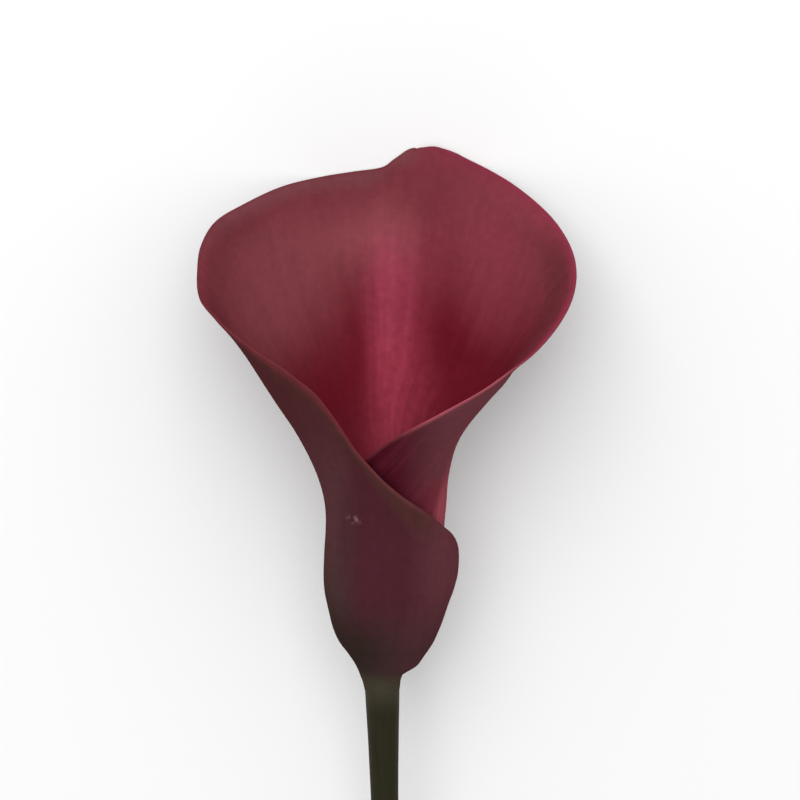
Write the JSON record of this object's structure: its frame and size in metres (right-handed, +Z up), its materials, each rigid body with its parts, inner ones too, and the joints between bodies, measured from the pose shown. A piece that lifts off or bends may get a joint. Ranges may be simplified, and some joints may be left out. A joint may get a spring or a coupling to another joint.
{
  "type": "calla lily flower",
  "caption": "Cut calla lily lying on its back: a rolled, flaring burgundy spathe whose free edge wraps over itself, a golden spadix deep inside and a bare round stem.",
  "frame": {"origin": "centre of the bounding box in X and Y, on the surface that the flower lies on", "axes": "+Y along the flower from the cut end to the bloom, +X to the right of the bloom seen into its mouth from above, +Z up"},
  "size_m": [0.0742, 0.3574, 0.051],
  "materials": {
    "spathe": "waxy to velvety burgundy, browner outside",
    "spadix": "dull golden, pebbled with tiny florets",
    "stem": "smooth dark olive, satin"
  },
  "bodies": {
    "root": {"spathe": "spathe", "spadix": "spadix", "stem": "stem"}
  },
  "joints": []
}
